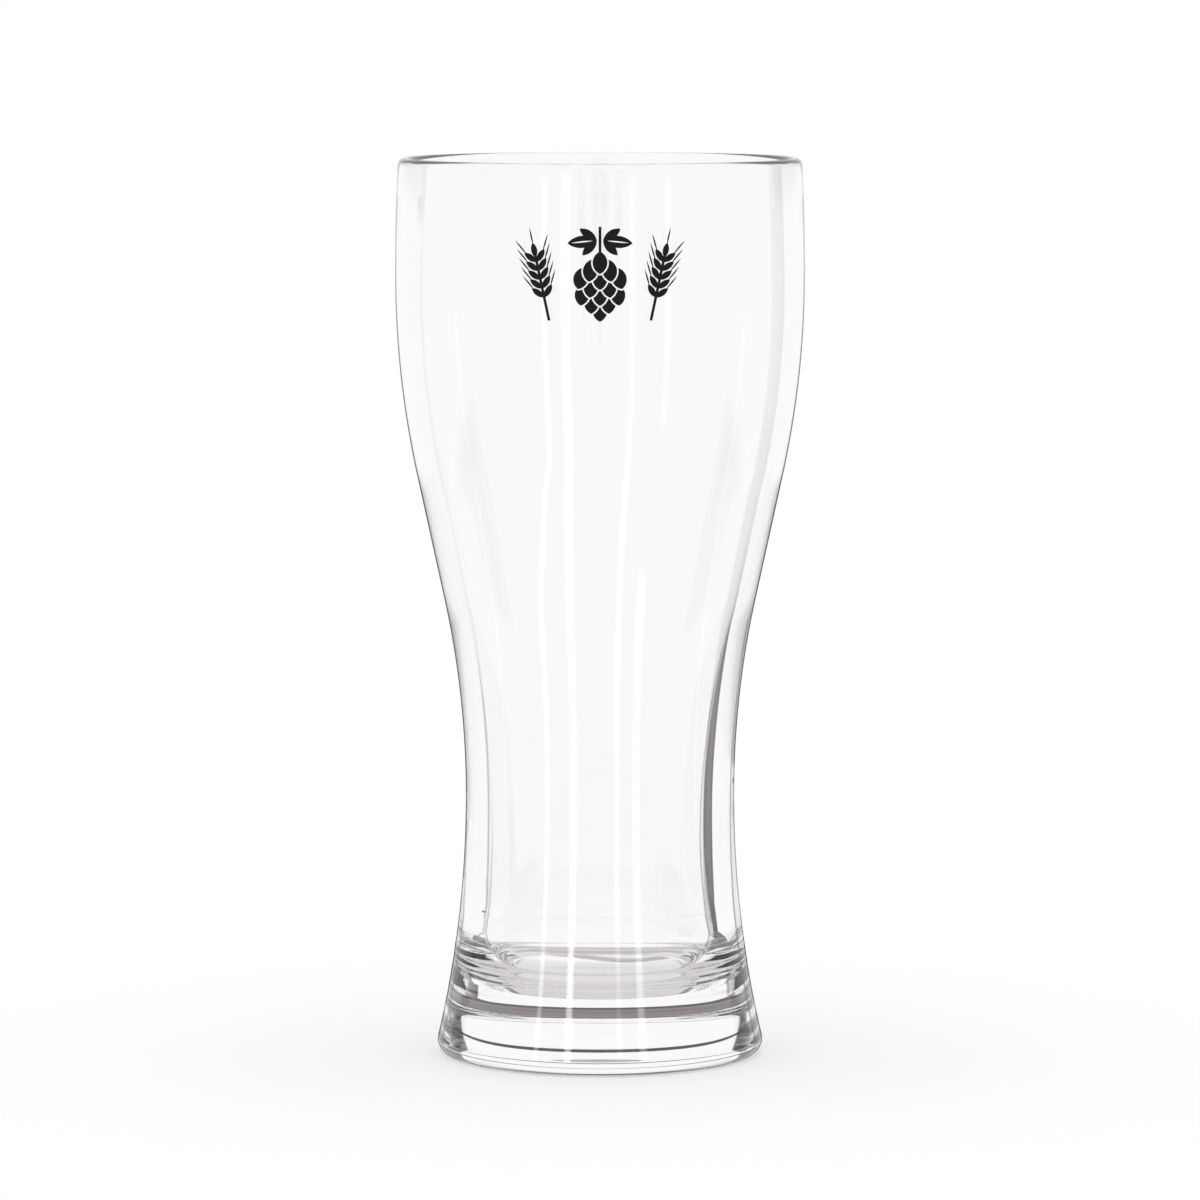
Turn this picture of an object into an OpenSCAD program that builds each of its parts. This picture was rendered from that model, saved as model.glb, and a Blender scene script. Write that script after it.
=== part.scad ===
// Footed beer glass: a bulged bowl on a narrow waist, a flared foot with a thick solid base,
// and a fired-on print of a hop cone between two ears of barley.
// Millimetres. Origin at the centre of the circle that the glass stands on, +Z up.
// The print faces -Y.

/* [Glass outside] */
// Height of the glass from the table to the top of the lip
glass_h = 182; // [140:1:240]
// Diameter at the widest part of the bowl
bowl_d = 82.7; // [74:0.1:100]
// Distance from the top of the lip down to the widest part of the bowl
bowl_below_top = 24; // [14:0.5:45]
// Diameter at the waist
waist_d = 54.6; // [46:0.1:64]
// Height of the waist
waist_z = 53; // [36:1:72]
// Diameter at the widest part of the foot
foot_d = 66.2; // [60:0.1:84]
// Radius of the rounded heel under the foot
heel_r = 2.7; // [1:0.1:4]
// How far the lip draws in from the widest part, on each side
lip_draw_in = 0.6; // [0.2:0.05:2.5]
// Thickness of the rounded lip
lip_t = 2.6; // [1.6:0.1:3.6]

/* [Glass inside] */
// Thickness of the wall at the widest part of the bowl
bowl_wall = 2.4; // [1.4:0.1:4]
// Thickness of the wall at the narrowest part of the inside
waist_wall = 5.6; // [3:0.1:8]
// Height of the narrowest part of the inside
inner_waist_z = 46; // [34:1:64]
// Radius of the inner wall's flare, from its narrowest part down to the floor's round
inner_flare_r = 120; // [90:5:300]
// Thickness of the solid base, from the table to the inner floor
base_t = 13.4; // [8:0.1:22]
// Radius of the round between the inner floor and the wall
floor_corner_r = 14; // [5:0.5:16]
// Angle at which that round meets the flat disc of the floor, in degrees
floor_edge_turn = 42; // [20:1:55]
// Height below the top over which the wall thickens into the lip
lip_blend_h = 7; // [3:0.5:12]

/* [Underside] */
// Width of the flat ring that the glass stands on
ring_w = 1; // [0.6:0.1:5]
// Width of the steep edge of the hollow inside that ring
punt_edge_w = 1.2; // [0.4:0.1:3]
// Height of that edge
punt_edge_h = 0.85; // [0.2:0.05:2]
// Rise of the hollow from that edge to its middle
punt_dome_h = 1.15; // [0.4:0.05:3]

/* [Print] */
// Distance from the top of the lip down to the middle of the print
print_below_top = 21.5; // [16:0.5:60]
// Width of the whole print
print_w = 33; // [28:0.5:44]
// Height of the whole print
print_h = 18.6; // [15:0.2:22]
// Thickness of the fired ink
ink_t = 0.12; // [0.06:0.01:0.3]

/* [Hop cone] */
// Width of one bract of the cone
bract_w = 2.9; // [2:0.1:3.6]
// Length of one bract
bract_l = 4.4; // [3.6:0.1:6]
// Bare line between neighbouring bracts
bract_gap = 0.28; // [0.14:0.02:0.5]
// Width of the printed stems
stem_w = 0.55; // [0.3:0.05:1]

/* [Hop leaves] */
// Length of a leaf's middle lobe
leaf_l = 5.8; // [4:0.1:8]
// Width of a leaf's middle lobe
leaf_w = 2.4; // [1.5:0.1:3.2]
// Bare gap between the stem and a leaf
leaf_gap = 0.35; // [0.2:0.05:0.8]

/* [Barley ears] */
// Length of one grain
grain_l = 3; // [2:0.1:4]
// Width of one grain
grain_w = 1.2; // [0.8:0.05:1.8]
// Grains on each side of an ear
grain_n = 5; // [3:1:7]
// Length of one bristle
awn_l = 3.8; // [2:0.1:6]
// Width of one bristle at its middle
awn_w = 0.3; // [0.2:0.02:0.5]
// Lean of an ear away from upright, in degrees
ear_lean = 12; // [0:1:18]

/* [Hidden] */

// Straight pieces that stand for one arc of the wall, and for a full turn
ARC_N = 10;
TURN_N = 180;

// Of the greatest radii that the two arcs of the bowl's S can have, the part used, and the waist's part of it
s_share = 0.94;
waist_share = 0.5;

// Radii of the widest and narrowest places
bowl_r = bowl_d / 2;
waist_r = waist_d / 2;
foot_r = foot_d / 2;
lip_r = lip_t / 2;
bowl_z = glass_h - bowl_below_top;

// Where the outer wall runs into the lip's round
lip_outer_r = bowl_r - lip_draw_in;
lip_z = glass_h - lip_r;

// The inside follows the outside at the bowl and the waist
inner_bowl_r = bowl_r - bowl_wall;
inner_waist_r = waist_r - waist_wall;
inner_top_r = lip_outer_r - bowl_wall;
inner_top_z = glass_h - lip_blend_h;

// Points of an arc about c with radius r, from angle a0 to a1
function arc(c, r, a0, a1) =
    [for (i = [0:ARC_N]) let (a = a0 + (a1 - a0) * i / ARC_N) [c[0] + r * cos(a), c[1] + r * sin(a)]];

// Sum of the radii of the two arcs of an S that rises by h and widens by w
function s_sum(w, h) = s_share * (h * h + w * w) / (2 * w);

// Angle between the vertical and the short straight that joins those arcs
function s_angle(w, h) =
    let (sum = s_sum(w, h))
    atan2(h, sum - w) - acos(sum / norm([h, sum - w]));

// Centre radius of a round of radius f on the level z0 that touches the arc of radius r about [cr, cz]
function round_centre(cr, cz, r, f, z0) = cr - sqrt(pow(r + f, 2) - pow(cz - z0 - f, 2));

// Radius of the flare from a waist down to a foot of radius fr whose heel has radius f
function flare_radius(wr, wz, fr, f) =
    let (a = wr - fr + f, q = wz - f)
    (a * a + q * q - f * f) / (2 * (f - a));

// Profile of a wall, upwards: round that starts at an angle from level, flare, waist, straight, shoulder
// and draw-in
function wall(wr, wz, low_r, f, start, z0, br, bz, tr, tz) =
    let (
        sum = s_sum(br - wr, bz - wz),
        tilt = s_angle(br - wr, bz - wz),
        up_r = sum * waist_share,
        over_r = sum - up_r,
        cr = round_centre(wr + low_r, wz, low_r, f, z0),
        low = atan2(wz - z0 - f, wr + low_r - cr),
        draw_r = (pow(tz - bz, 2) + pow(br - tr, 2)) / (2 * (br - tr)),
        draw = asin((tz - bz) / draw_r),
        flare = arc([wr + low_r, wz], low_r, 180 + low, 180),
        waist = arc([wr + up_r, wz], up_r, 180, 180 - tilt),
        shoulder = arc([br - over_r, bz], over_r, -tilt, 0),
        top = arc([br - draw_r, bz], draw_r, 0, draw)
    )
    concat(arc([cr, z0 + f], f, start - 90, low), rest(flare), rest(waist), shoulder, rest(top));

// A list without its first point, where one arc starts at the last one's end
function rest(points) = [for (i = [1:len(points) - 1]) points[i]];

outer_flare_r = flare_radius(waist_r, waist_z, foot_r, heel_r);
outer_wall = wall(waist_r, waist_z, outer_flare_r, heel_r, 0, 0, bowl_r, bowl_z, lip_outer_r, lip_z);

// The floor's round would reach its lowest level under the flat disc that cuts it off
round_low_z = base_t - floor_corner_r * (1 - cos(floor_edge_turn));
inner_wall = wall(inner_waist_r, inner_waist_z, inner_flare_r, floor_corner_r, floor_edge_turn, round_low_z,
    inner_bowl_r, bowl_z, inner_top_r, inner_top_z);

// The hollow under the base is a cap of a sphere with a steep edge, inside the standing ring
ring_inner_r = outer_wall[0][0] - ring_w;
punt_r = ring_inner_r - punt_edge_w;
punt_h = punt_edge_h + punt_dome_h;
punt_ball_r = (punt_r * punt_r + punt_dome_h * punt_dome_h) / (2 * punt_dome_h);
punt_angle = asin(punt_r / punt_ball_r);

// The film of ink is cut from a band of wall a little taller than the print
band_share = 0.6;
print_z = glass_h - print_below_top;
band_low = print_z - print_h * band_share;
band_high = print_z + print_h * band_share;
wall_by_z = [for (p = outer_wall) [p[1], p[0]]];
band_wall = concat(
    [[lookup(band_low, wall_by_z), band_low]],
    [for (p = outer_wall) if (p[1] > band_low && p[1] < band_high) p],
    [[lookup(band_high, wall_by_z), band_high]]
);

// Bracts in each row of the cone, from the stem down, and how much a side bract fans out in each row
row_bracts = [1, 2, 3, 2, 3, 2, 1];
fan_angles = [0, 16, 15, 10, 8, 4, 0];
// Height of the cone as a part of the print's, and the step from row to row
cone_share = 0.74;
cone_h = print_h * cone_share;
row_step = (cone_h - bract_l) / (len(row_bracts) - 1);
cone_top = cone_h - print_h / 2;
stem_top = print_h / 2;

// A leaf springs from the stem between the cone and the stem's end
leaf_share = 0.45;
leaf_y = cone_top + (stem_top - cone_top) * leaf_share;
// Direction of the middle lobe, angle of the side lobes from it, and their size beside it
leaf_angle = 96;
lobe_angle = 40;
lobe_share = 0.7;
vein_share = 0.75;

// An ear's stalk, grains and bristles share the height of the print
grain_angle = 42;
awn_angle = 14;
stalk_share = 0.2;
awn_start_share = 0.75;
awn_start = grain_l * awn_start_share;
ear_top = print_h - awn_l - awn_start;
grain_step = (ear_top - print_h * stalk_share) / grain_n;
spread_w = awn_start * sin(grain_angle) + awn_l * sin(grain_angle - awn_angle);
ear_x = print_w / 2 - spread_w - ear_top / 2 * sin(ear_lean);

// One piece of glass: underside, outer wall, lip, inner wall and floor
module glass_body() {
    color([0.86, 0.92, 0.93, 0.45])
    rotate_extrude($fn = TURN_N)
    polygon(concat(
        arc([0, punt_h - punt_ball_r], punt_ball_r, 90, 90 - punt_angle),
        [[ring_inner_r, 0]],
        outer_wall,
        rest(arc([lip_outer_r - lip_r, lip_z], lip_r, 0, 180)),
        [for (i = [len(inner_wall) - 1:-1:0]) inner_wall[i]],
        [[0, base_t]]
    ));
}

// Film of ink on the outside of the wall, cut to the outline of its children
module ink() {
    color([0.06, 0.06, 0.06])
    intersection() {
        translate([0, 0, print_z])
        rotate([90, 0, 0])
        linear_extrude(height = bowl_d)
        children();

        rotate_extrude($fn = TURN_N)
        polygon(concat(
            band_wall,
            [for (i = [len(band_wall) - 1:-1:0]) band_wall[i] + [ink_t, 0]]
        ));
    }
}

// Pointed leaf that stands on the origin: two arcs, l long and w wide, with grow added all round
module blade(l, w, grow = 0) {
    r = (l * l + w * w) / (4 * w);
    translate([0, l / 2])
    intersection() {
        translate([r - w / 2, 0]) circle(r = r + grow, $fn = TURN_N);
        translate([w / 2 - r, 0]) circle(r = r + grow, $fn = TURN_N);
    }
}

// Row i of the cone: bracts that hang side by side, the outer ones fanned out
module bract_row(i, grow = 0) {
    n = row_bracts[i];
    for (j = [0:n - 1]) {
        side = j - (n - 1) / 2;
        translate([side * (bract_w + bract_gap), cone_top - i * row_step])
        rotate(180 + side * fan_angles[i])
        blade(bract_l, bract_w, grow);
    }
}

// The cone hangs from its stem, and each row lies over the two rows below it
module hop_cone() {
    ink() {
        for (i = [0:len(row_bracts) - 1])
            difference() {
                bract_row(i);
                if (i > 0) bract_row(i - 1, bract_gap);
                if (i > 1) bract_row(i - 2, bract_gap);
            }
        translate([-stem_w / 2, cone_top - stem_w])
        square([stem_w, stem_top - cone_top + stem_w]);
    }
}

// Three lobes with a bare vein in the middle one
module hop_leaf() {
    translate([-stem_w / 2 - leaf_gap, leaf_y])
    rotate(leaf_angle)
    difference() {
        union() {
            blade(leaf_l, leaf_w);
            for (side = [-1, 1])
                rotate(side * lobe_angle)
                blade(leaf_l * lobe_share, leaf_w * lobe_share);
        }
        translate([0, leaf_l * (1 - vein_share) / 2])
        blade(leaf_l * vein_share, bract_gap);
    }
}

module hop_leaf_left() {
    ink() hop_leaf();
}

module hop_leaf_right() {
    ink() mirror([1, 0, 0]) hop_leaf();
}

// A grain with the bristle that grows from its tip, bent back towards the ear
module grain(bend = 0) {
    blade(grain_l, grain_w);
    translate([0, awn_start])
    rotate(-bend)
    blade(awn_l, awn_w);
}

// Ear of barley on its stalk, leaning to the left
module barley_ear() {
    translate([-ear_x, 0])
    rotate(ear_lean)
    translate([0, -print_h / 2]) {
        translate([-stem_w / 2, 0])
        square([stem_w, ear_top + stem_w]);
        for (i = [0:grain_n - 1])
            translate([0, ear_top - (i + 0.5) * grain_step])
            for (side = [0, 1])
                mirror([side, 0])
                rotate(grain_angle)
                grain(awn_angle);
        translate([0, ear_top])
        grain();
    }
}

module barley_ear_left() {
    ink() barley_ear();
}

module barley_ear_right() {
    ink() mirror([1, 0, 0]) barley_ear();
}

glass_body();
barley_ear_left();
hop_leaf_left();
hop_cone();
hop_leaf_right();
barley_ear_right();
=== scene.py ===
import math

import bpy
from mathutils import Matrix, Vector, noise


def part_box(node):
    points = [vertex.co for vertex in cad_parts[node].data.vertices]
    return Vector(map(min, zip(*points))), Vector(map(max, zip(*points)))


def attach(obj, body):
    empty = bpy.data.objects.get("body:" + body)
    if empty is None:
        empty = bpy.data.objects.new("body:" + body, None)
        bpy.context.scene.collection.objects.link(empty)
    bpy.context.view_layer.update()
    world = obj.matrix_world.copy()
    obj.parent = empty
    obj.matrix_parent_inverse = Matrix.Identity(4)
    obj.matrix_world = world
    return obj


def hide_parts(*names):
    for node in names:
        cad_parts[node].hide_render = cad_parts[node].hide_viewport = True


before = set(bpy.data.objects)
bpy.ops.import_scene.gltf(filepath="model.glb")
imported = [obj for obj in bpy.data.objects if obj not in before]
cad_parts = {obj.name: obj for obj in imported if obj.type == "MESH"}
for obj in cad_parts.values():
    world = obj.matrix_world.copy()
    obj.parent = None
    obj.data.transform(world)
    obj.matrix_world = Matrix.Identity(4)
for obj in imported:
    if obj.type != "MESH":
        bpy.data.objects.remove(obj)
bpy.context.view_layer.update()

# The glass is one gob of clear soda-lime glass, blown in a turned mould and cracked off at the lip, which a
# flame then rounds. The wall is thin in the bowl and thick at the waist, because the gob is drawn downwards,
# and the foot is left solid with a shallow hollow pressed into its underside.
MM = 0.001
glass_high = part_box("glass_body")[1]
glass_h = glass_high[2]
bowl_r = glass_high[0]
bowl_z = glass_h - 24 * MM
waist_r = 27.3 * MM
waist_z = 53 * MM
foot_r = 33.1 * MM
heel_r = 2.7 * MM
lip_r = 1.3 * MM
lip_outer_r = bowl_r - 0.6 * MM
bowl_wall = 2.4 * MM
inner_waist_r = waist_r - 5.6 * MM
inner_waist_z = 46 * MM
inner_flare = 120 * MM
base_t = 13.4 * MM
corner_r = 14 * MM
disc_edge_turn = math.radians(42)
lip_blend_h = 7 * MM
ring_w = 1.0 * MM
punt_edge_w = 1.2 * MM
punt_edge_h = 0.85 * MM
punt_dome_h = 1.15 * MM
BEND_SHARE = 0.94
FLARE_STEPS = 60
ARC_STEPS = 48
LIP_STEPS = 28
SHORT_STEPS = 24
FLOOR_STEPS = 12
BLEND_STEPS = 8
PUNT_EDGE_STEPS = 6
RING_STEPS = 4


def arc(centre, radius, start, stop, steps):
    """Points (radius, height) of an arc of the profile, angles in radians."""
    angles = [start + (stop - start) * i / steps for i in range(steps + 1)]
    return [(centre[0] + radius * math.cos(a), centre[1] + radius * math.sin(a)) for a in angles]


def s_curve(widen, rise):
    """Sum of the two radii of the bowl's S, nearly all bend, and the angle of the straight between them."""
    total = BEND_SHARE * (rise * rise + widen * widen) / (2 * widen)
    return total, math.atan2(rise, total - widen) - math.acos(total / math.hypot(rise, total - widen))


def straight(first, last, steps):
    """Points between two ends, without the ends."""
    return [
        tuple(a + (b - a) * i / steps for a, b in zip(first, last))
        for i in range(1, steps)
    ]


def wall(narrow_r, narrow_z, flare, fillet, edge_turn, floor_z, wide_r, wide_z, top_r, top_z):
    """A wall upwards: round at the bottom, flare, waist, straight, shoulder and draw-in at the top."""
    total, tilt = s_curve(wide_r - narrow_r, wide_z - narrow_z)
    half = total / 2
    rise = narrow_z - floor_z - fillet
    round_r = narrow_r + flare - math.sqrt((flare + fillet) ** 2 - rise ** 2)
    low = math.atan2(rise, narrow_r + flare - round_r)
    draw = ((top_z - wide_z) ** 2 + (wide_r - top_r) ** 2) / (2 * (wide_r - top_r))
    bottom = arc((round_r, floor_z + fillet), fillet, edge_turn - math.pi / 2, low, ARC_STEPS)
    lower = arc((narrow_r + flare, narrow_z), flare, math.pi + low, math.pi, FLARE_STEPS)
    upper = arc((narrow_r + half, narrow_z), half, math.pi, math.pi - tilt, ARC_STEPS)
    shoulder = arc((wide_r - half, wide_z), half, -tilt, 0, ARC_STEPS)
    top = arc((wide_r - draw, wide_z), draw, 0, math.asin((top_z - wide_z) / draw), SHORT_STEPS)
    join = straight(upper[-1], shoulder[0], SHORT_STEPS)
    return bottom + lower[1:] + upper[1:] + join + shoulder + top[1:]


fall = foot_r - heel_r - waist_r
reach = waist_z - heel_r
outer_flare = (fall ** 2 + reach ** 2 - heel_r ** 2) / (2 * (heel_r + fall))
corner_low = base_t - corner_r * (1 - math.cos(disc_edge_turn))
outside = wall(waist_r, waist_z, outer_flare, heel_r, 0, 0, bowl_r, bowl_z, lip_outer_r, glass_h - lip_r)
inside = wall(inner_waist_r, inner_waist_z, inner_flare, corner_r, disc_edge_turn, corner_low,
              bowl_r - bowl_wall, bowl_z, lip_outer_r - bowl_wall, glass_h - lip_blend_h)
lip = arc((lip_outer_r - lip_r, glass_h - lip_r), lip_r, 0, math.pi, LIP_STEPS)
ring_in = outside[0][0] - ring_w
punt_r = ring_in - punt_edge_w
punt_ball = (punt_r ** 2 + punt_dome_h ** 2) / (2 * punt_dome_h)
dome_turn = math.asin(punt_r / punt_ball)
dome_low = punt_edge_h + punt_dome_h - punt_ball
punt = arc((0, dome_low), punt_ball, math.pi / 2, math.pi / 2 - dome_turn, SHORT_STEPS)
punt_edge = straight(punt[-1], (ring_in, 0), PUNT_EDGE_STEPS) + [(ring_in, 0)]
ring = straight(punt_edge[-1], outside[0], RING_STEPS)
inner_floor = straight(inside[0], (0, base_t), FLOOR_STEPS)
blend = straight(inside[-1], lip[-1], BLEND_STEPS)
profile = punt + punt_edge + ring + outside + lip[1:]
profile += blend[::-1] + inside[::-1] + inner_floor + [(0, base_t)]
first_outside = len(punt + punt_edge + ring)
first_inside = len(punt + punt_edge + ring + outside + lip) - 1

# Two fine round beads run along the inner corner of the floor: the radius and the height of each.
BEADS = ((22.4 * MM, 0.6 * MM), (20.9 * MM, 0.4 * MM))
BEAD_W = 0.3 * MM
BEAD_TOP = 30 * MM

SIDES = 360
# The inside is a little off centre at the waist, which leaves the wall thicker on the right.
THICKER_SIDE = 0.35 * MM
THICKER_FADE = 32 * MM
# Faint waves in the skin of the foot, strongest near the mould's two seams.
FOOT_WAVE = 0.055 * MM
WAVE_LOW = 11 * MM
WAVE_FULL = 18 * MM
WAVE_TOP = 26 * MM
WAVE_FADE = 12 * MM
WAVES_ROUND = 2.2
WAVE_RISE = 3.4 * MM


def foot_wave(angle, height):
    """How far faint waves push the skin of the foot outwards, most of all by the mould's two seams."""
    fade = math.exp(-(max(height - WAVE_TOP, 0) / WAVE_FADE) ** 2)
    fade *= min(max((height - WAVE_LOW) / (WAVE_FULL - WAVE_LOW), 0), 1)
    across, along = math.cos(angle), math.sin(angle)
    fade *= abs(across) ** 3
    wave = 0
    for share, finer in ((1, 1), (0.5, 2.1), (0.25, 4.3)):
        spot = Vector((WAVES_ROUND * finer * across, WAVES_ROUND * finer * along, finer * height / WAVE_RISE))
        wave += share * noise.noise(spot)
    return FOOT_WAVE * fade * wave


def glass_point(index, side):
    """A point of the glass. Its foot is faintly waved, and its inside is a little off centre."""
    radius, height = profile[index]
    angle = 2 * math.pi * side / SIDES
    if first_outside <= index < first_inside:
        radius += foot_wave(angle, height)
    x = radius * math.cos(angle)
    y = radius * math.sin(angle)
    if index >= first_inside and height < BEAD_TOP:
        height += sum(rise * math.exp(-((radius - bead_r) / BEAD_W) ** 2) for bead_r, rise in BEADS)
    if index >= first_inside:
        off = THICKER_SIDE * math.exp(-((height - inner_waist_z) / THICKER_FADE) ** 2)
        x -= off * min(radius / inner_waist_r, 1)
    return (x, y, height)


points = [(0, 0, profile[0][1])]
rings = range(1, len(profile) - 1)
for index in rings:
    points += [glass_point(index, side) for side in range(SIDES)]
points.append((0, 0, profile[-1][1]))
last = len(points) - 1
faces = []
for side in range(SIDES):
    after = (side + 1) % SIDES
    faces.append((0, 1 + after, 1 + side))
    faces.append((last, last - SIDES + side, last - SIDES + after))
    for ring_no in range(len(rings) - 1):
        this = 1 + ring_no * SIDES
        following = this + SIDES
        faces.append((this + side, this + after, following + after, following + side))
glass_mesh = bpy.data.meshes.new("glass")
glass_mesh.from_pydata(points, [], faces)
glass_mesh.shade_smooth()
glass_mesh.validate()
glass = bpy.data.objects.new("glass", glass_mesh)
bpy.context.collection.objects.link(glass)


def join_up(tree, node, **links):
    """Feeds a node's inputs, named with spaces as underscores, from sockets or plain values."""
    for name, value in links.items():
        socket = node.inputs[name.replace("_", " ")]
        if isinstance(value, bpy.types.NodeSocket):
            tree.links.new(value, socket)
        else:
            socket.default_value = value
    return node


def maths(tree, operation, *values):
    """The output of a Math node fed with sockets or numbers."""
    node = tree.nodes.new("ShaderNodeMath")
    node.operation = operation
    for socket, value in zip(node.inputs, values):
        if isinstance(value, bpy.types.NodeSocket):
            tree.links.new(value, socket)
        else:
            socket.default_value = value
    return node.outputs[0]


def ramp(tree, value, low, high, start=0.0, stop=1.0):
    """A smooth step from start to stop while value goes from low to high."""
    node = tree.nodes.new("ShaderNodeMapRange")
    node.interpolation_type = "SMOOTHSTEP"
    join_up(tree, node, Value=value, From_Min=low, From_Max=high, To_Min=start, To_Max=stop)
    return node.outputs[0]


def slope(tree, value, low, high, start, stop):
    """A straight change from start to stop while value goes from low to high."""
    node = tree.nodes.new("ShaderNodeMapRange")
    join_up(tree, node, Value=value, From_Min=low, From_Max=high, To_Min=start, To_Max=stop)
    return node.outputs[0]


def between(tree, value, low, high, soft):
    """One between low and high, and zero outside, with soft edges."""
    return maths(tree, "MULTIPLY", ramp(tree, value, low - soft, low + soft),
                 ramp(tree, value, high + soft, high - soft))


def mixed(tree, level, mask, value):
    """The level, taken to value where the mask is one."""
    return maths(tree, "ADD", maths(tree, "MULTIPLY", level, maths(tree, "SUBTRACT", 1.0, mask)),
                 maths(tree, "MULTIPLY", mask, value))


def grain(tree, place, scale, detail=3.0):
    """Smooth noise from zero to one at that scale."""
    node = tree.nodes.new("ShaderNodeTexNoise")
    join_up(tree, node, Vector=place, Scale=scale, Detail=detail)
    return node.outputs["Fac"]


# Handling leaves faint smears and a little dust on glass and print alike.
SMEAR_SCALE = 38.0
SMEAR_EDGE = (0.52, 0.72)
DUST_SCALE = 900.0
DUST_EDGE = (0.68, 0.76)
touch_marks = bpy.data.node_groups.new("touch_marks", "ShaderNodeTree")
for name, way, kind in (("Place", "INPUT", "NodeSocketVector"), ("Smear", "INPUT", "NodeSocketFloat"),
                        ("Dust", "INPUT", "NodeSocketFloat"), ("Roughness", "OUTPUT", "NodeSocketFloat")):
    touch_marks.interface.new_socket(name=name, in_out=way, socket_type=kind)
tree = touch_marks
given = tree.nodes.new("NodeGroupInput")
smears = ramp(tree, grain(tree, given.outputs["Place"], SMEAR_SCALE), *SMEAR_EDGE)
dust = ramp(tree, grain(tree, given.outputs["Place"], DUST_SCALE, 1.0), *DUST_EDGE)
marks = maths(tree, "ADD", maths(tree, "MULTIPLY", smears, given.outputs["Smear"]),
              maths(tree, "MULTIPLY", dust, given.outputs["Dust"]))
tree.links.new(marks, tree.nodes.new("NodeGroupOutput").inputs["Roughness"])

GLASS_IOR = 1.52
BAND_LOW = 28 * MM
BAND_TOP_RIGHT = 84 * MM
BAND_TOP_LEFT = 68 * MM
BAND_TOP_FADE = 6 * MM
BAND_RIGHT = (0.68, 0.81)
BAND_LEFT = (0.73, 1.0)
BAND_SIDE_FADE = 8 * MM
BAND_SOFT = 0.012
LINE_W = (0.055, 0.035)
PAINTED_BAND_GREY = 0.66
PAINTED_LINE_GREY = 0.12
SKIN_BUMP = 0.05 * MM
SKIN_SCALE = 160.0
SKIN_FLATTER = 2.5
SKIN_FADE = (45 * MM, 18 * MM)
SKIN_SEAM = (16 * MM, 28 * MM)
SKIN_ELSEWHERE = 0.02
glass_material = bpy.data.materials.new("clear_glass")
glass_material.use_nodes = True
tree = glass_material.node_tree
shader = tree.nodes["Principled BSDF"]
coords = tree.nodes.new("ShaderNodeTexCoord")
place = coords.outputs["Object"]
split = tree.nodes.new("ShaderNodeSeparateXYZ")
tree.links.new(place, split.inputs[0])
across, height = split.outputs[0], split.outputs[2]
# Painted shade: the base colour turns the thick wall grey at its very edge, from the waist down, more on its
# thicker side, and a darker line of painted shade runs along the inner side of that grey.
edge = tree.nodes.new("ShaderNodeLayerWeight")
edge.inputs["Blend"].default_value = 0.5
right_start = slope(tree, height, BAND_LOW, BAND_TOP_RIGHT, *BAND_RIGHT)
left_start = slope(tree, height, BAND_LOW, BAND_TOP_LEFT, *BAND_LEFT)
on_right = ramp(tree, across, -BAND_SIDE_FADE, BAND_SIDE_FADE)
start = maths(tree, "ADD", maths(tree, "MULTIPLY", right_start, on_right),
              maths(tree, "MULTIPLY", left_start, maths(tree, "SUBTRACT", 1.0, on_right)))
past = maths(tree, "SUBTRACT", edge.outputs["Facing"], start)
low_down = ramp(tree, height, BAND_TOP_RIGHT + BAND_TOP_FADE, BAND_TOP_RIGHT - BAND_TOP_FADE)
band = maths(tree, "MULTIPLY", ramp(tree, past, 0.0, BAND_SOFT), low_down)
line = maths(tree, "MULTIPLY", band, ramp(tree, past, *LINE_W))
painted_edge_grey = mixed(tree, mixed(tree, 1.0, band, PAINTED_BAND_GREY), line, PAINTED_LINE_GREY)
colour = tree.nodes.new("ShaderNodeCombineColor")
for channel in range(3):
    tree.links.new(painted_edge_grey, colour.inputs[channel])
# The mould leaves a skin that is faintly uneven, more so near the foot.
waves = tree.nodes.new("ShaderNodeMapping")
waves.inputs["Scale"].default_value = (1, 1, SKIN_FLATTER)
tree.links.new(place, waves.inputs["Vector"])
uneven = tree.nodes.new("ShaderNodeBump")
uneven.inputs["Strength"].default_value = 0.35
uneven.inputs["Distance"].default_value = SKIN_BUMP
near_foot = maths(tree, "MULTIPLY", ramp(tree, height, *SKIN_FADE), ramp(tree, height, WAVE_LOW, WAVE_FULL))
near_seam = ramp(tree, maths(tree, "ABSOLUTE", across), *SKIN_SEAM)
skin = maths(tree, "ADD", maths(tree, "MULTIPLY", near_foot, near_seam), SKIN_ELSEWHERE)
skin = maths(tree, "MULTIPLY", grain(tree, waves.outputs[0], SKIN_SCALE), skin)
tree.links.new(skin, uneven.inputs["Height"])
marks = tree.nodes.new("ShaderNodeGroup")
marks.node_tree = touch_marks
join_up(tree, marks, Place=place, Smear=0.025, Dust=0.05)
join_up(tree, shader, Base_Color=colour.outputs[0], Roughness=marks.outputs[0], IOR=GLASS_IOR,
        Transmission_Weight=1.0, Normal=uneven.outputs[0])
glass_mesh.materials.append(glass_material)
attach(glass, "root")
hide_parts("glass_body")

# The print is black ceramic ink, screened on the bowl and fired into the glass: a hop cone with two leaves
# between two ears of barley. Fired ink has a satin skin with a fine grain.
PIGMENT_DARK = (0.0040, 0.0040, 0.0042, 1)
PIGMENT_LIGHT = (0.0110, 0.0108, 0.0104, 1)
PIGMENT_GRAIN = 2500.0
SCREEN_GRAIN = 3500.0
SATIN_GRAIN = 1200.0
SATIN = (0.30, 0.42)
ink_material = bpy.data.materials.new("black_enamel")
ink_material.use_nodes = True
tree = ink_material.node_tree
shader = tree.nodes["Principled BSDF"]
coords = tree.nodes.new("ShaderNodeTexCoord")
place = coords.outputs["Object"]
pigment = tree.nodes.new("ShaderNodeMix")
pigment.data_type = "RGBA"
tree.links.new(grain(tree, place, PIGMENT_GRAIN), pigment.inputs[0])
pigment.inputs[6].default_value = PIGMENT_DARK
pigment.inputs[7].default_value = PIGMENT_LIGHT
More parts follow.
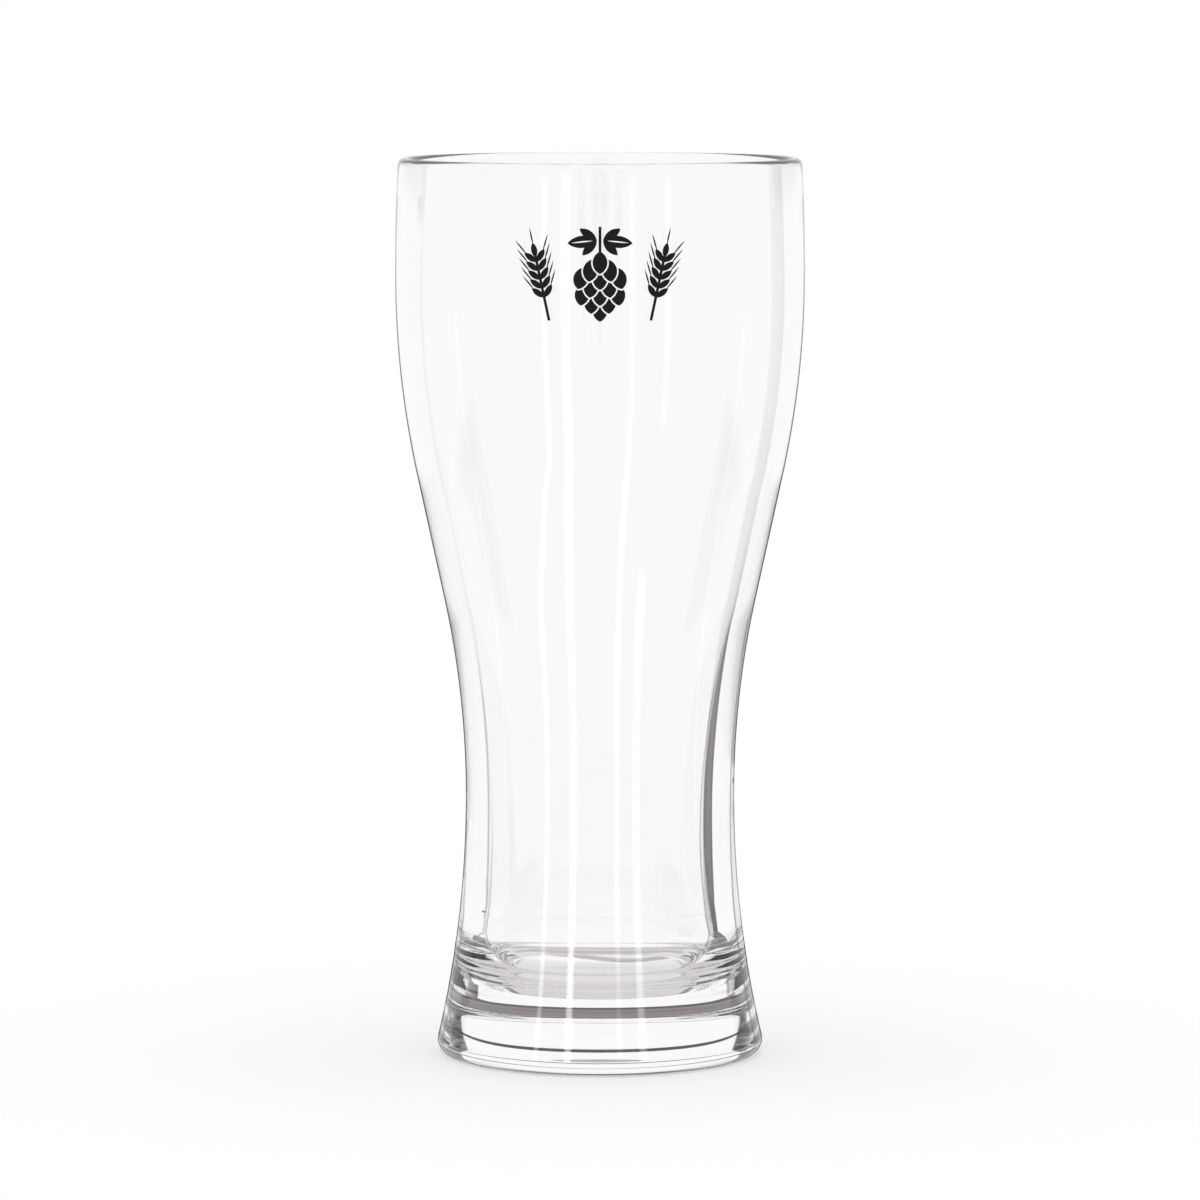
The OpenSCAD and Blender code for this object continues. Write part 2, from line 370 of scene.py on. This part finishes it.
screen = tree.nodes.new("ShaderNodeBump")
screen.inputs["Strength"].default_value = 0.5
screen.inputs["Distance"].default_value = 0.01 * MM
tree.links.new(grain(tree, place, SCREEN_GRAIN, 2.0), screen.inputs["Height"])
marks = tree.nodes.new("ShaderNodeGroup")
marks.node_tree = touch_marks
join_up(tree, marks, Place=place, Smear=0.12, Dust=0.25)
satin = maths(tree, "ADD", marks.outputs[0], ramp(tree, grain(tree, place, SATIN_GRAIN), 0.3, 0.7, *SATIN))
join_up(tree, shader, Base_Color=pigment.outputs[2], Roughness=satin, Specular_IOR_Level=0.1,
        Normal=screen.outputs[0])
for name in ("barley_ear_left", "hop_leaf_left", "hop_cone", "hop_leaf_right", "barley_ear_right"):
    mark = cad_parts[name]
    for index in range(len(mark.material_slots)):
        mark.material_slots[index].material = ink_material

# The floor is a plain white table top that keeps the soft shadow of the glass. Seen through the glass it
# shows a painted shadow, grey close to the foot, and the studio's black cards: a dark one to the right, a
# paler one to the left, and wide ones for the heel and the rim. Turns are in degrees to the right of straight
# behind the glass.
FLOOR = 4.0
TABLE_GREY = 0.66
TABLE_GLOW = 0.36
SHADE_R = 42 * MM
OPEN_R = 60 * MM
SHADE_LIGHT = (0.45, 0.96)
UNDER_R = 33 * MM
UNDER_LIGHT = 0.27
FRONT_TURN = (86, 96)
FRONT_LIGHT = 0.90
CARD_NEAR_R = 64 * MM
CARD_FAR_R = 260 * MM
CARD_DARK = 0.93
# How many surfaces of the glass light has crossed: the solid base, the heel, both walls, the round rim.
BASE_SURFACES = 2
HEEL_SURFACES = 3
BOTH_WALLS = 4
RIM_SURFACES = 7
FEW_SURFACES = 3
RIGHT_CARD = (48.5, 63.5)
RIGHT_EDGE = (50.5, 52)
RIGHT_DARK = 0.95
LEFT_CARD = (-57.5, -54)
LEFT_DARK = 0.5
HEEL_CARD = (49, 100)
HEEL_CARD_SOFT = 1.5
HEEL_FAR_R = 150 * MM
HEEL_DARK = 0.85
RIM_TURN = 66
RIM_NEAR_R = 130 * MM
RIM_FAR_R = 480 * MM
EDGE_SHADE = (36 * MM, 46 * MM)
EDGE_DARK = 0.8
RINGS_R = 170 * MM
RING_NOISE = (85, 0.06)
RING_EDGE = (0.50, 0.62)
RING_LIGHT = 0.40
RAY_NOISE = (2.0, 0.8)
RAY_EDGE = (0.58, 0.66)
RAY_LIGHT = 0.12
SHADE_TINT = (1, 0.90, 0.86, 1)
floor_mesh = bpy.data.meshes.new("floor")
corners = [(-FLOOR, -FLOOR, 0), (FLOOR, -FLOOR, 0), (FLOOR, FLOOR, 0), (-FLOOR, FLOOR, 0)]
floor_mesh.from_pydata(corners, [], [(0, 1, 2, 3)])
floor = bpy.data.objects.new("floor", floor_mesh)
bpy.context.collection.objects.link(floor)
floor.visible_glossy = False
floor_material = bpy.data.materials.new("white_table")
floor_material.use_nodes = True
tree = floor_material.node_tree
light_path = tree.nodes.new("ShaderNodeLightPath")
shader = tree.nodes["Principled BSDF"]
join_up(tree, shader, Base_Color=(TABLE_GREY, TABLE_GREY, TABLE_GREY, 1), Roughness=0.9,
        Specular_IOR_Level=0.0, Emission_Color=(1, 1, 1, 1), Emission_Strength=TABLE_GLOW)
spot = tree.nodes.new("ShaderNodeNewGeometry")
split = tree.nodes.new("ShaderNodeSeparateXYZ")
tree.links.new(spot.outputs["Position"], split.inputs[0])
across, along = split.outputs[0], split.outputs[1]
from_axis = maths(tree, "SQRT", maths(tree, "ADD", maths(tree, "MULTIPLY", across, across),
                                      maths(tree, "MULTIPLY", along, along)))
turn = maths(tree, "MULTIPLY", maths(tree, "ARCTAN2", across, along), 180 / math.pi)
aside = maths(tree, "ABSOLUTE", turn)
# Painted shadow: seen through the glass the floor is painted grey close round the foot, lighter right under
# it, and a little darker in front.
shaded = maths(tree, "ADD", ramp(tree, from_axis, SHADE_R, OPEN_R, *SHADE_LIGHT),
               ramp(tree, from_axis, UNDER_R - MM, UNDER_R + MM, UNDER_LIGHT, 0.0))
shaded = maths(tree, "MULTIPLY", shaded, ramp(tree, aside, *FRONT_TURN, 1.0, FRONT_LIGHT))


def crossed(tree, light_path, surfaces):
    """One for light that has crossed just so many surfaces of the glass."""
    return maths(tree, "COMPARE", light_path.outputs["Ray Depth"], surfaces, 0.1)


def flat_noise(tree, across, along, scales, detail=3.0):
    """Smooth noise over two measures, each with its own scale."""
    spot = tree.nodes.new("ShaderNodeCombineXYZ")
    join_up(tree, spot, X=maths(tree, "MULTIPLY", across, scales[0]),
            Y=maths(tree, "MULTIPLY", along, scales[1]))
    return grain(tree, spot.outputs[0], 1.0, detail)


def side_cards(tree, turn):
    """The two narrow cards: the right one darkest at its inner edge, the left one paler."""
    right = maths(tree, "MULTIPLY", between(tree, turn, *RIGHT_CARD, 1.0),
                  ramp(tree, turn, *RIGHT_EDGE, 1.0, RIGHT_DARK))
    left = maths(tree, "MULTIPLY", between(tree, turn, *LEFT_CARD, 1.0), LEFT_DARK)
    return maths(tree, "ADD", right, left)


# The cards are hidden from light that crosses both walls, because it would throw them right across the glass.
one_wall = maths(tree, "SUBTRACT", 1.0, crossed(tree, light_path, BOTH_WALLS))
cards = maths(tree, "MULTIPLY", side_cards(tree, turn), one_wall)
in_card = maths(tree, "MULTIPLY", ramp(tree, from_axis, CARD_NEAR_R - 4 * MM, CARD_NEAR_R), cards)
few = maths(tree, "LESS_THAN", light_path.outputs["Ray Depth"], FEW_SURFACES + 0.5)
near = ramp(tree, from_axis, 1.5 * CARD_FAR_R, 0.8 * CARD_FAR_R)
in_card = mixed(tree, maths(tree, "MULTIPLY", few, cards), near, in_card)
heel_card = maths(tree, "MULTIPLY", between(tree, aside, *HEEL_CARD, HEEL_CARD_SOFT),
                  ramp(tree, from_axis, HEEL_FAR_R, 0.8 * HEEL_FAR_R))
heel_card = maths(tree, "MULTIPLY", heel_card, one_wall)
in_card = maths(tree, "MAXIMUM", in_card, maths(tree, "MULTIPLY", heel_card, HEEL_DARK))
# Light that runs round inside the rim before it leaves sees a dark part of the room.
round_rim = maths(tree, "GREATER_THAN", light_path.outputs["Ray Depth"], RIM_SURFACES - 0.5)
rim_card = maths(tree, "MULTIPLY", ramp(tree, aside, RIM_TURN + 1, RIM_TURN - 1),
                 between(tree, from_axis, RIM_NEAR_R, RIM_FAR_R, 10 * MM))
in_card = maths(tree, "MAXIMUM", in_card, maths(tree, "MULTIPLY", rim_card, round_rim))
# The rounded edge of the heel shows the shaded table behind the foot as a thin line.
under_edge = maths(tree, "MULTIPLY", crossed(tree, light_path, HEEL_SURFACES),
                   between(tree, from_axis, *EDGE_SHADE, MM))
in_card = maths(tree, "MAXIMUM", in_card, maths(tree, "MULTIPLY", under_edge, EDGE_DARK))
# The cards aren't even: near the foot light lies on them in rings, and farther out in rays.
near_rings = maths(tree, "MULTIPLY", ramp(tree, flat_noise(tree, from_axis, turn, RING_NOISE), *RING_EDGE),
                   ramp(tree, from_axis, RINGS_R, 0.7 * RINGS_R))
far_rays = maths(tree, "MULTIPLY", ramp(tree, flat_noise(tree, from_axis, turn, RAY_NOISE, 1.0), *RAY_EDGE),
                 ramp(tree, from_axis, 0.7 * RINGS_R, RINGS_R))
light_in_card = maths(tree, "ADD", maths(tree, "MULTIPLY", near_rings, RING_LIGHT),
                      maths(tree, "MULTIPLY", far_rays, RAY_LIGHT))
in_card = maths(tree, "MULTIPLY", in_card, maths(tree, "SUBTRACT", 1.0, light_in_card))
through = tree.nodes.new("ShaderNodeEmission")
not_dark = maths(tree, "SUBTRACT", 1.0, maths(tree, "MULTIPLY", in_card, CARD_DARK))
tree.links.new(maths(tree, "MULTIPLY", shaded, not_dark), through.inputs["Strength"])
# What is darker is also a little warmer.
brightness = maths(tree, "MULTIPLY", shaded, maths(tree, "SUBTRACT", 1.0, in_card))
darkness = maths(tree, "SUBTRACT", 1.0, brightness)
warm = tree.nodes.new("ShaderNodeMix")
warm.data_type = "RGBA"
tree.links.new(darkness, warm.inputs[0])
warm.inputs[6].default_value = (1, 1, 1, 1)
warm.inputs[7].default_value = SHADE_TINT
tree.links.new(warm.outputs[2], through.inputs["Color"])
# Light that has crossed only the solid base goes on through the floor to the white backdrop.
solid = crossed(tree, light_path, BASE_SURFACES)
clear = tree.nodes.new("ShaderNodeBsdfTransparent")
seen_through = tree.nodes.new("ShaderNodeMixShader")
tree.links.new(solid, seen_through.inputs[0])
tree.links.new(through.outputs[0], seen_through.inputs[1])
tree.links.new(clear.outputs[0], seen_through.inputs[2])
either = tree.nodes.new("ShaderNodeMixShader")
tree.links.new(light_path.outputs["Is Transmission Ray"], either.inputs[0])
tree.links.new(shader.outputs[0], either.inputs[1])
tree.links.new(seen_through.outputs[0], either.inputs[2])
tree.links.new(either.outputs[0], tree.nodes["Material Output"].inputs["Surface"])
floor_mesh.materials.append(floor_material)

# The strip of table close round the foot that the heel shades, brown because little light gets there. Only
# light that crosses the solid base and nothing else shows it, as the brown band of the base.
SHADE_NEAR_R = foot_r + 0.5 * MM
SHADE_H = 2.8 * MM
SHADE_BROWN = (0.285, 0.252, 0.240, 1)
SHADE_EDGE = (0.3 * MM, 0.6 * MM)
SHADE_EDGE_LIGHT = 0.4
LAYER_FINER = 30
LAYER_GRAIN = 30.0
LAYER_LIGHT = (0.72, 1.12)
DARK_SIDE = -6.2 * MM
DARK_SIDE_LIGHT = (0.5, 0.9)
shade_mesh = bpy.data.meshes.new("heel_shade")
rim = [2 * math.pi * side / SIDES for side in range(SIDES)]
shade_points = [
    (SHADE_NEAR_R * math.cos(a), SHADE_NEAR_R * math.sin(a), z)
    for z in (0, SHADE_H)
    for a in rim
]
shade_faces = [(i, (i + 1) % SIDES, SIDES + (i + 1) % SIDES, SIDES + i) for i in range(SIDES)]
shade_mesh.from_pydata(shade_points, [], shade_faces)
heel_shade = bpy.data.objects.new("heel_shade", shade_mesh)
bpy.context.collection.objects.link(heel_shade)
for kind in ("camera", "diffuse", "glossy", "shadow"):
    setattr(heel_shade, "visible_" + kind, False)
shade_material = bpy.data.materials.new("heel_shade")
shade_material.use_nodes = True
tree = shade_material.node_tree
tree.nodes.remove(tree.nodes["Principled BSDF"])
light_path = tree.nodes.new("ShaderNodeLightPath")
coords = tree.nodes.new("ShaderNodeTexCoord")
layers = tree.nodes.new("ShaderNodeMapping")
layers.inputs["Scale"].default_value = (1, 1, LAYER_FINER)
tree.links.new(coords.outputs["Object"], layers.inputs["Vector"])
split = tree.nodes.new("ShaderNodeSeparateXYZ")
tree.links.new(coords.outputs["Object"], split.inputs[0])
brown = tree.nodes.new("ShaderNodeEmission")
brown.inputs["Color"].default_value = SHADE_BROWN
edge_in, edge_out = SHADE_EDGE
upper_edge = ramp(tree, split.outputs[2], SHADE_H - edge_out, SHADE_H - edge_in, 1.0, SHADE_EDGE_LIGHT)
lower_edge = ramp(tree, split.outputs[2], edge_in, edge_out, SHADE_EDGE_LIGHT, 1.0)
light = ramp(tree, grain(tree, layers.outputs[0], LAYER_GRAIN, 2.0), 0.35, 0.65, *LAYER_LIGHT)
light = maths(tree, "MULTIPLY", light, upper_edge)
light = maths(tree, "MULTIPLY", light, lower_edge)
left_side = ramp(tree, split.outputs[0], DARK_SIDE, DARK_SIDE + MM, *DARK_SIDE_LIGHT)
light = maths(tree, "MULTIPLY", light, left_side)
tree.links.new(light, brown.inputs["Strength"])
clear = tree.nodes.new("ShaderNodeBsdfTransparent")
either = tree.nodes.new("ShaderNodeMixShader")
tree.links.new(crossed(tree, light_path, BASE_SURFACES), either.inputs[0])
tree.links.new(clear.outputs[0], either.inputs[1])
tree.links.new(brown.outputs[0], either.inputs[2])
tree.links.new(either.outputs[0], tree.nodes["Material Output"].inputs["Surface"])
shade_mesh.materials.append(shade_material)

# The studio round the glass: a white backdrop with black cards at its two sides and a dark seam across it,
# which draw the edges of the glass, and a nearly white room behind the camera, which its skin mirrors, with
# dark parts and two faint strips of light at the sides. Turns and rises are in degrees.
FRONT_WHITE = 0.94
BACKDROP_WHITE = 0.96
ROOM_WHITE = 0.98
SIDE_CARDS = (49, 89)
CARD_LOW = 8
CARD_TOP = 33
CARD_NOISE = (0.04, 0.35)
CARD_LIGHT = (0.04, 0.45)
CARD_TINT = (1, 0.93, 0.90, 1)
HEEL_NOISE = (0.05, 0.8)
HEEL_LIGHT = (0.03, 0.24)
HEEL_LOW = -12
OFF_BASE_LOW = 2
OFF_BASE_TURN = 56
SEAM_CLIMB = (16.6, 18.4)
SEAM_TURN = 60
SEAM_LIGHT = 0.04
OUTLINE_TURN = 15
OUTLINE_RISE = (0, -4)
OUTLINE_LIGHT = 0.15
BELOW_RISE = (-31, -37)
BELOW_TURN = (80, 70)
BELOW_LIGHT = 0.1
LOW_SIDE_TURN = (27, 64)
LOW_SIDE_RISE = (0, 12)
LOW_SIDE_LIGHT = 0.15
STRIP_TURNS = (-91, 91)
STRIP_HALF = 1.2
STRIP_RISE = (-40, -6)
STRIP_GLOW = 0.5
world = bpy.data.worlds.new("studio")
bpy.context.scene.world = world
world.use_nodes = True
tree = world.node_tree
tree.nodes.clear()
way = tree.nodes.new("ShaderNodeTexCoord")
split = tree.nodes.new("ShaderNodeSeparateXYZ")
tree.links.new(way.outputs["Generated"], split.inputs[0])
turn = maths(tree, "MULTIPLY", maths(tree, "ARCTAN2", split.outputs[0], split.outputs[1]), 180 / math.pi)
rise = maths(tree, "MULTIPLY", maths(tree, "ARCSINE", split.outputs[2]), 180 / math.pi)
climb = maths(tree, "MULTIPLY", maths(tree, "ARCTAN2", split.outputs[2], split.outputs[1]), 180 / math.pi)
aside = maths(tree, "ABSOLUTE", turn)
light_path = tree.nodes.new("ShaderNodeLightPath")
backdrop = ramp(tree, aside, *FRONT_TURN, BACKDROP_WHITE, FRONT_WHITE)
# Low down only the two narrow cards show, and above them the wide ones.
above_low = ramp(tree, rise, CARD_LOW - 2, CARD_LOW + 2)
few = maths(tree, "LESS_THAN", light_path.outputs["Ray Depth"], FEW_SURFACES + 1.5)
sides = mixed(tree, maths(tree, "MULTIPLY", few, side_cards(tree, turn)), above_low,
              between(tree, aside, *SIDE_CARDS, 1.0))
sides = maths(tree, "MULTIPLY", sides, ramp(tree, rise, CARD_TOP + 2, CARD_TOP - 2))
card_light = ramp(tree, flat_noise(tree, turn, rise, CARD_NOISE), 0.48, 0.70, *CARD_LIGHT)
backdrop = mixed(tree, backdrop, sides, card_light)
# Light that crosses the solid foot, straight or off its underside, sees the cards with fine wavy streaks.
straight_on = maths(tree, "MULTIPLY", crossed(tree, light_path, HEEL_SURFACES),
                    ramp(tree, rise, HEEL_LOW - 2, HEEL_LOW + 2))
low_off_base = maths(tree, "MULTIPLY", ramp(tree, rise, OFF_BASE_LOW - 1, OFF_BASE_LOW + 1),
                     ramp(tree, aside, OFF_BASE_TURN + 1, OFF_BASE_TURN - 1))
off_base = maths(tree, "MAXIMUM", above_low, low_off_base)
off_base = maths(tree, "MULTIPLY", off_base, crossed(tree, light_path, BOTH_WALLS))
heel = maths(tree, "MULTIPLY", between(tree, aside, *HEEL_CARD, HEEL_CARD_SOFT),
             maths(tree, "ADD", straight_on, off_base))
heel_light = ramp(tree, flat_noise(tree, turn, rise, HEEL_NOISE), 0.38, 0.68, *HEEL_LIGHT)
backdrop = mixed(tree, backdrop, heel, heel_light)
seam = maths(tree, "MULTIPLY", between(tree, climb, *SEAM_CLIMB, 0.2),
             ramp(tree, aside, SEAM_TURN + 1, SEAM_TURN - 1))
backdrop = mixed(tree, backdrop, seam, SEAM_LIGHT)

# The skin of the glass mirrors the room: dark right behind it and far below, which draws its outline, a grey
# part low at the sides, and the two strips.
room = ramp(tree, aside, *FRONT_TURN, ROOM_WHITE, FRONT_WHITE)
behind = maths(tree, "MULTIPLY", ramp(tree, aside, OUTLINE_TURN + 1, OUTLINE_TURN - 1),
               ramp(tree, rise, *OUTLINE_RISE))
room = mixed(tree, room, behind, OUTLINE_LIGHT)
below = maths(tree, "MULTIPLY", ramp(tree, rise, *BELOW_RISE), ramp(tree, aside, *BELOW_TURN))
room = mixed(tree, room, below, BELOW_LIGHT)
low_sides = maths(tree, "MULTIPLY", between(tree, aside, *LOW_SIDE_TURN, 2.0),
                  between(tree, rise, *LOW_SIDE_RISE, 1.0))
room = mixed(tree, room, low_sides, LOW_SIDE_LIGHT)
for middle in STRIP_TURNS:
    lit = maths(tree, "MULTIPLY", between(tree, turn, middle - STRIP_HALF, middle + STRIP_HALF, 0.3),
                between(tree, rise, *STRIP_RISE, 1.0))
    room = maths(tree, "ADD", room, maths(tree, "MULTIPLY", lit, STRIP_GLOW))
glossy = light_path.outputs["Is Glossy Ray"]
passed = light_path.outputs["Is Transmission Ray"]
level = mixed(tree, mixed(tree, 1.0, glossy, room), passed, backdrop)
background = tree.nodes.new("ShaderNodeBackground")
tint = tree.nodes.new("ShaderNodeMix")
tint.data_type = "RGBA"
tree.links.new(maths(tree, "MULTIPLY", passed, maths(tree, "MAXIMUM", sides, heel)), tint.inputs[0])
tint.inputs[6].default_value = (1, 1, 1, 1)
tint.inputs[7].default_value = CARD_TINT
tree.links.new(tint.outputs[2], background.inputs["Color"])
tree.links.new(level, background.inputs["Strength"])
output = tree.nodes.new("ShaderNodeOutputWorld")
tree.links.new(background.outputs[0], output.inputs[0])

# Narrow strip lamps stand close in front of the glass, bent so that each lights the bowl and the waist.
# Only the outer skin of the glass mirrors them, as upright white streaks.
LAMP_AWAY = 100 * MM
LAMP_STEPS = 16
BEND_LOW = 42 * MM
BEND_HIGH = 78 * MM
LAMP_FADE = 10 * MM
UPPER_GLOW = 0.35
LAMP_SOFT = 0.2
WHOLE = (8 * MM, 190 * MM)
FADING = (28 * MM, 190 * MM)
UPPER = (88 * MM, 190 * MM)
LOWER = (8 * MM, 50 * MM)
# Each lamp's angle in degrees as seen on the bowl and on the waist, half its width in degrees, its reach of
# heights and its glow.
LAMPS = (
    (-9.6, -11.4, 1.7, WHOLE, 9.0),
    (-15.6, -22.9, 1.2, WHOLE, 4.5),
    (9.0, 7.0, 1.3, FADING, 3.2),
    (19.2, 19.2, 1.3, UPPER, 3.0),
    (15.3, 15.3, 1.9, LOWER, 4.5),
)


def lamp_place(side_deg, radius):
    """Where a lamp stands that shows in the glass at that angle from the front, and which way it spans."""
    side = math.radians(side_deg)
    out = Vector((math.sin(2 * side), -math.cos(2 * side)))
    on_glass = Vector((radius * math.sin(side), -radius * math.cos(side)))
    return on_glass + LAMP_AWAY * out, Vector((-out.y, out.x))


for number, (bowl_deg, waist_deg, half_deg, (low, high), glow) in enumerate(LAMPS):
    half = (2 * LAMP_AWAY + bowl_r) * math.radians(half_deg)
    at_bowl, span_bowl = lamp_place(bowl_deg, bowl_r)
    at_waist, span_waist = lamp_place(waist_deg, waist_r)
    lamp_points = []
    for step in range(LAMP_STEPS + 1):
        z = low + (high - low) * step / LAMP_STEPS
        up = min(max((z - BEND_LOW) / (BEND_HIGH - BEND_LOW), 0), 1)
        middle = at_waist.lerp(at_bowl, up)
        span = span_waist.lerp(span_bowl, up).normalized() * half
        lamp_points += [(*(middle - span), z), (*(middle + span), z)]
    lamp_faces = [(2 * i, 2 * i + 1, 2 * i + 3, 2 * i + 2) for i in range(LAMP_STEPS)]
    lamp_mesh = bpy.data.meshes.new("strip_lamp_%d" % number)
    lamp_mesh.from_pydata(lamp_points, [], lamp_faces)
    width = lamp_mesh.uv_layers.new(name="width")
    for loop in lamp_mesh.loops:
        width.data[loop.index].uv = (loop.vertex_index % 2, 0)
    lamp = bpy.data.objects.new("strip_lamp_%d" % number, lamp_mesh)
    bpy.context.collection.objects.link(lamp)
    for kind in ("camera", "diffuse", "transmission", "shadow"):
        setattr(lamp, "visible_" + kind, False)
    lamp_material = bpy.data.materials.new("strip_lamp_%d" % number)
    lamp_material.use_nodes = True
    tree = lamp_material.node_tree
    tree.nodes.remove(tree.nodes["Principled BSDF"])
    coords = tree.nodes.new("ShaderNodeTexCoord")
    split = tree.nodes.new("ShaderNodeSeparateXYZ")
    tree.links.new(coords.outputs["Object"], split.inputs[0])
    lit = maths(tree, "MULTIPLY", ramp(tree, split.outputs[2], low, low + LAMP_FADE),
                ramp(tree, split.outputs[2], high, high - LAMP_FADE))
    lit = maths(tree, "MULTIPLY", lit, ramp(tree, split.outputs[2], BEND_LOW, BEND_HIGH, 1.0, UPPER_GLOW))
    side_on = tree.nodes.new("ShaderNodeSeparateXYZ")
    tree.links.new(coords.outputs["UV"], side_on.inputs[0])
    lit = maths(tree, "MULTIPLY", lit, between(tree, side_on.outputs[0], LAMP_SOFT, 1 - LAMP_SOFT, LAMP_SOFT))
    shine = tree.nodes.new("ShaderNodeEmission")
    tree.links.new(maths(tree, "MULTIPLY", lit, glow), shine.inputs["Strength"])
    clear = tree.nodes.new("ShaderNodeBsdfTransparent")
    both = tree.nodes.new("ShaderNodeAddShader")
    tree.links.new(clear.outputs[0], both.inputs[0])
    tree.links.new(shine.outputs[0], both.inputs[1])
    tree.links.new(both.outputs[0], tree.nodes["Material Output"].inputs["Surface"])
    lamp_mesh.materials.append(lamp_material)

# The camera stands 1.3 m in front of the glass and a little above its lip, with a long lens. It looks
# slightly down, so that the rim shows as a narrow ellipse.
CAMERA_AWAY = 1.313
CAMERA_H = 0.2221
PITCH = math.radians(5.64)
FOCAL_PX = 6503
FRAME_PX = 1200
SENSOR = 36
camera_data = bpy.data.cameras.new("camera")
camera = bpy.data.objects.new("camera", camera_data)
bpy.context.collection.objects.link(camera)
camera_data.sensor_width = SENSOR
camera_data.lens = SENSOR * FOCAL_PX / FRAME_PX
camera.location = (0, -CAMERA_AWAY, CAMERA_H)
camera.rotation_euler = (math.pi / 2 - PITCH, 0, 0)
scene = bpy.context.scene
scene.camera = camera
scene.view_settings.view_transform = "Standard"
# Light crosses the glass and runs round in it many times before it leaves.
scene.cycles.max_bounces = 24
scene.cycles.transmission_bounces = 24
scene.cycles.glossy_bounces = 16
